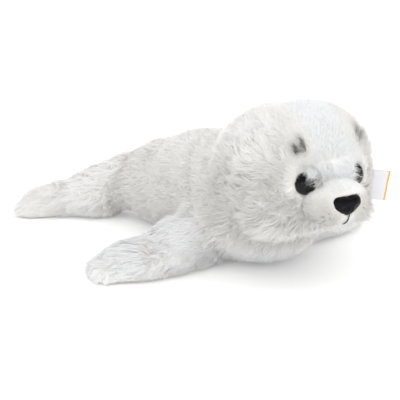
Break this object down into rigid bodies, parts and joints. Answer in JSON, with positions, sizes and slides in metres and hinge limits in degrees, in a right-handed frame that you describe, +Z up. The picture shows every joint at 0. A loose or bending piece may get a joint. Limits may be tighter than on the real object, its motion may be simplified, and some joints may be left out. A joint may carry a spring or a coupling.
{
  "type": "plush seal",
  "caption": "Stuffed plush seal pup lying on its belly with the head raised, white pile, black plastic eyes and nose, and paddle flippers.",
  "frame": {"origin": "on the floor, on the flat underside of the belly, under its middle", "axes": "+X from the belly towards the nose, +Y to the seal's left, +Z up"},
  "size_m": [0.3329, 0.2574, 0.13],
  "materials": {
    "white_long_pile": "long soft pile",
    "white_short_pile": "short dense pile",
    "black_gloss_plastic": "polished",
    "black_moulded_plastic": "satin",
    "white_nylon": "as moulded",
    "dark_thread": "twisted thread",
    "white_satin": "satin weave"
  },
  "bodies": {
    "root": {"body": "white_long_pile", "muzzle": "white_short_pile", "fore_flipper_right": "white_long_pile", "fore_flipper_left": "white_long_pile", "hind_flipper_right": "white_long_pile", "hind_flipper_left": "white_long_pile", "eye_right": "black_gloss_plastic", "eye_left": "black_gloss_plastic", "eye_washer_right": "white_nylon", "eye_washer_left": "white_nylon", "nose": "black_moulded_plastic", "nose_washer": "white_nylon", "mouth_stitch": "dark_thread", "side_label": "white_satin"}
  },
  "joints": []
}
